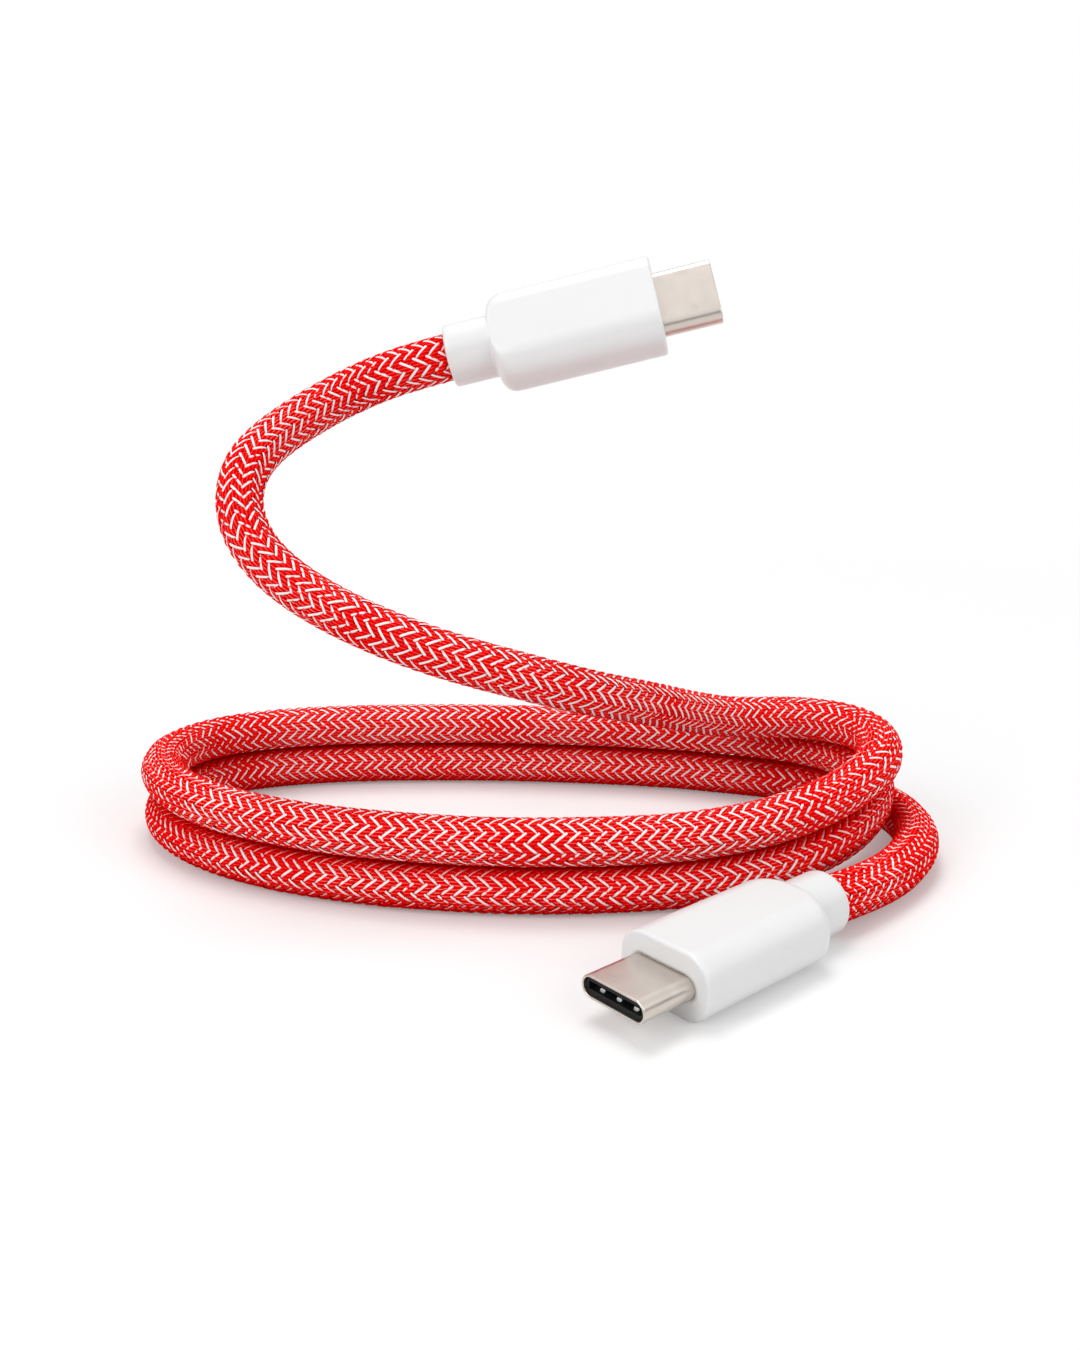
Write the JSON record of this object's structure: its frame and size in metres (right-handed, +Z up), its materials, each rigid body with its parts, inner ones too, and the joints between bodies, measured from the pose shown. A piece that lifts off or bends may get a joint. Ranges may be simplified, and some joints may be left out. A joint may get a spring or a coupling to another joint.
{
  "type": "charging cable",
  "caption": "Thick red braided charging cable with a white moulded reversible plug at each end, lying as a small oval coil with one plug raised on the stiff cord.",
  "frame": {"origin": "middle of the underside of the lying plug's housing, 8 mm behind its front face, on the surface that the cable lies on", "axes": "+Z up from the surface; the lying plug's tip points 221 degrees counterclockwise from +X; -Y is the side that the cable is looked at from"},
  "size_m": [0.0993, 0.0732, 0.0698],
  "materials": {
    "red_braid": "braided",
    "white_moulding": "satin",
    "nickel_shell": "satin",
    "black_moulding": "matte",
    "gold_contact": "polished",
    "spring_steel": "satin",
    "green_card": "satin",
    "ceramic": "matte",
    "solder": "satin",
    "tinned_can": "satin",
    "inner_mould": "satin",
    "brass_ring": "satin",
    "red_jacket": "matte",
    "red_insulation": "satin",
    "black_insulation": "satin",
    "blue_insulation": "satin",
    "green_insulation": "satin",
    "white_insulation": "satin"
  },
  "bodies": {
    "root": {"cord_tail": "red_braid", "cord_coil": "red_braid", "cord_rise": "red_braid", "a_housing": "white_moulding", "a_shell": "nickel_shell", "a_contact_block": "black_moulding", "a_contacts_upper": "gold_contact", "a_contacts_lower": "gold_contact", "a_latch": "spring_steel", "a_ground_spring_upper": "spring_steel", "a_ground_spring_lower": "spring_steel", "a_circuit_card": "green_card", "a_marker_chip": "black_moulding", "a_capacitors": "ceramic", "a_solder_joints": "solder", "a_wire_power": "red_insulation", "a_wire_ground": "black_insulation", "a_wire_config": "blue_insulation", "a_wire_data_plus": "green_insulation", "a_wire_data_minus": "white_insulation", "a_shield_can": "tinned_can", "a_inner_mould": "inner_mould", "a_crimp_ring": "brass_ring", "a_inner_jacket": "red_jacket", "b_housing": "white_moulding", "b_shell": "nickel_shell", "b_contact_block": "black_moulding", "b_contacts_upper": "gold_contact", "b_contacts_lower": "gold_contact", "b_latch": "spring_steel", "b_ground_spring_upper": "spring_steel", "b_ground_spring_lower": "spring_steel", "b_circuit_card": "green_card", "b_marker_chip": "black_moulding", "b_capacitors": "ceramic", "b_solder_joints": "solder", "b_wire_power": "red_insulation", "b_wire_ground": "black_insulation", "b_wire_config": "blue_insulation", "b_wire_data_plus": "green_insulation", "b_wire_data_minus": "white_insulation", "b_shield_can": "tinned_can", "b_inner_mould": "inner_mould", "b_crimp_ring": "brass_ring", "b_inner_jacket": "red_jacket"}
  },
  "joints": []
}
